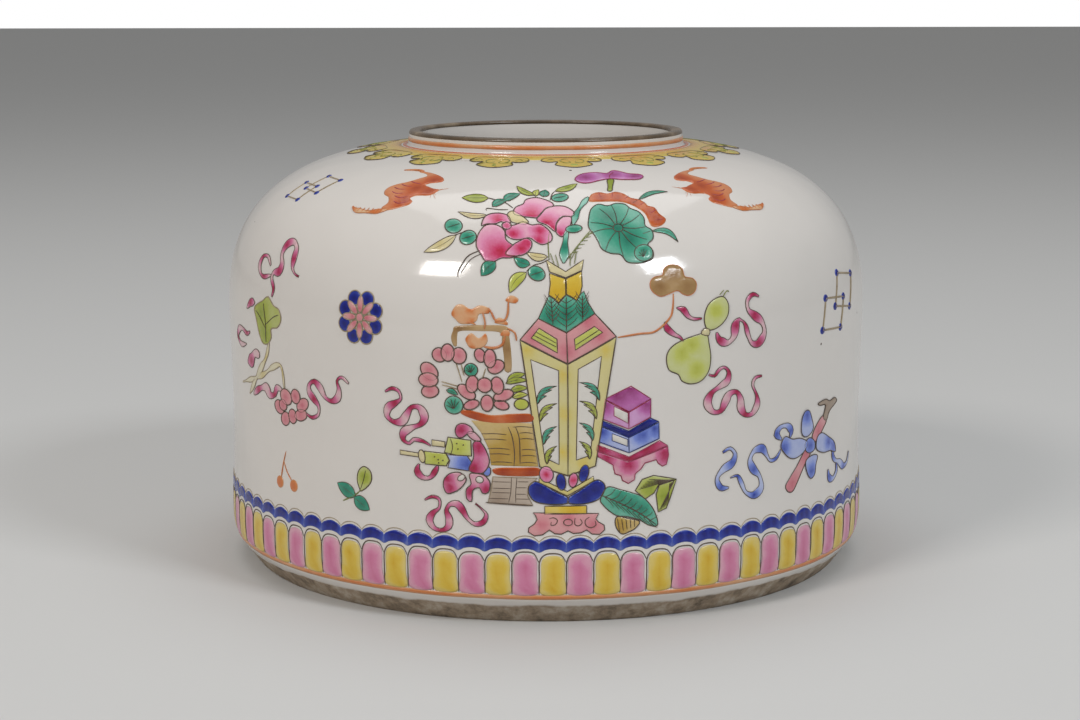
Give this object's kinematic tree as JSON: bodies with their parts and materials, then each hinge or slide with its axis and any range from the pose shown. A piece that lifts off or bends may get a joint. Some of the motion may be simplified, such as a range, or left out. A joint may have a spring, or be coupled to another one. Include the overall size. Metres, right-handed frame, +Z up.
{
  "type": "brush washer",
  "caption": "Low beehive-shaped porcelain water pot with a wide round shoulder, small raised mouth, foot ring and raised enamel decoration.",
  "frame": {"origin": "centre of the foot ring's underside, on the surface that the washer stands on", "axes": "+Z up along the vessel's turning axis; the main painted vase faces -Y, and +X is to its right"},
  "size_m": [0.1312, 0.1312, 0.0865],
  "materials": {
    "porcelain": "unglazed white porcelain, stained brown where it shows on the foot",
    "white_glaze": "glossy clear glaze over white porcelain, with small iron specks",
    "brown_lip_glaze": "thin brown lip dressing, satin",
    "iron_red_enamel": "iron-red enamel, semi-gloss",
    "yellow_enamel": "opaque yellow enamel, glossy",
    "blue_enamel": "dark blue enamel, glossy",
    "pink_enamel": "rose-pink enamel shaded into white, glossy",
    "magenta_enamel": "deep rose enamel shaded into white, glossy",
    "green_enamel": "translucent blue-green enamel over black lines, glossy",
    "leaf_green_enamel": "translucent yellow-green enamel over black lines, glossy",
    "brown_enamel": "gold-brown enamel, glossy"
  },
  "bodies": {
    "root": {"lower_body": "porcelain", "shoulder_dome": "porcelain", "neck_collar": "porcelain", "outer_glaze": "white_glaze", "inner_glaze": "white_glaze", "base_glaze": "white_glaze", "lip_line": "brown_lip_glaze", "foot_line": "iron_red_enamel", "collar_line": "iron_red_enamel", "lappet_border": "yellow_enamel", "scallop_border": "blue_enamel", "cloud_collar": "yellow_enamel", "vase": "yellow_enamel", "vase_base": "blue_enamel", "vase_stand": "pink_enamel", "peony": "pink_enamel", "lotus_leaf": "green_enamel", "red_bloom": "iron_red_enamel", "lingzhi": "magenta_enamel", "vase_back": "yellow_enamel", "vase_base_back": "blue_enamel", "vase_stand_back": "pink_enamel", "peony_back": "pink_enamel", "lotus_leaf_back": "green_enamel", "red_bloom_back": "iron_red_enamel", "lingzhi_back": "magenta_enamel", "ruyi_sceptre": "brown_enamel", "gourd": "leaf_green_enamel", "upper_book_box": "pink_enamel", "lower_book_box": "blue_enamel", "box_stand": "magenta_enamel", "plantain_leaf": "green_enamel", "folded_leaf": "leaf_green_enamel", "gourd_ribbon_upper": "magenta_enamel", "gourd_ribbon_lower": "magenta_enamel", "gourd_back": "leaf_green_enamel", "box_stand_back": "magenta_enamel", "upper_book_box_back": "pink_enamel", "lower_book_box_back": "blue_enamel", "altar_table": "brown_enamel", "lotus_bloom": "pink_enamel", "side_lotus": "pink_enamel", "book_stack": "brown_enamel", "scroll_bundle": "magenta_enamel", "scroll_ribbon": "magenta_enamel", "rosette": "blue_enamel", "book_stack_back": "brown_enamel", "scroll_bundle_back": "magenta_enamel", "bat_left": "iron_red_enamel", "bat_right": "iron_red_enamel", "bat_left_back": "iron_red_enamel", "bat_right_back": "iron_red_enamel", "flute": "pink_enamel", "flute_ribbon": "blue_enamel", "flute_back": "pink_enamel", "emblem_leaf": "green_enamel", "emblem_lotus": "pink_enamel"}
  },
  "joints": []
}
